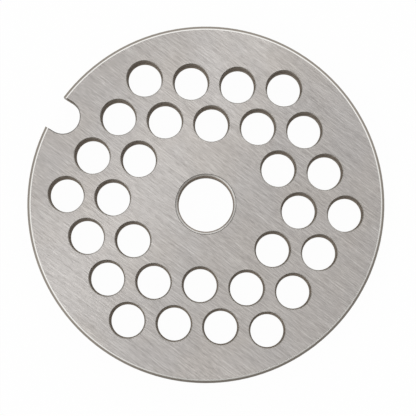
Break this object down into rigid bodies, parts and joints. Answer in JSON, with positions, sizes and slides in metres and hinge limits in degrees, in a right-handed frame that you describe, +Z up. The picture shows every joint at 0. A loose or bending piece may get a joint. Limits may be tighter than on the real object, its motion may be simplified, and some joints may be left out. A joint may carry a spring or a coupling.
{
  "type": "meat grinder plate",
  "caption": "Flat round steel plate with a centre bore, a triangular pattern of round grinding holes and a locating notch in its rim, for a hand or electric meat grinder.",
  "frame": {"origin": "centre of the bore on the lower face, which the plate lies on", "axes": "+Z up through the plate along the bore, +X along the rows of grinding holes; the rim notch lies 152.5 degrees round from +X towards +Y"},
  "size_m": [0.062, 0.062, 0.005],
  "materials": {
    "ground_stainless_steel": "surface-ground faces with fine straight grain, turned rim, drilled hole walls"
  },
  "bodies": {
    "root": {"grinder_plate": "ground_stainless_steel"}
  },
  "joints": []
}
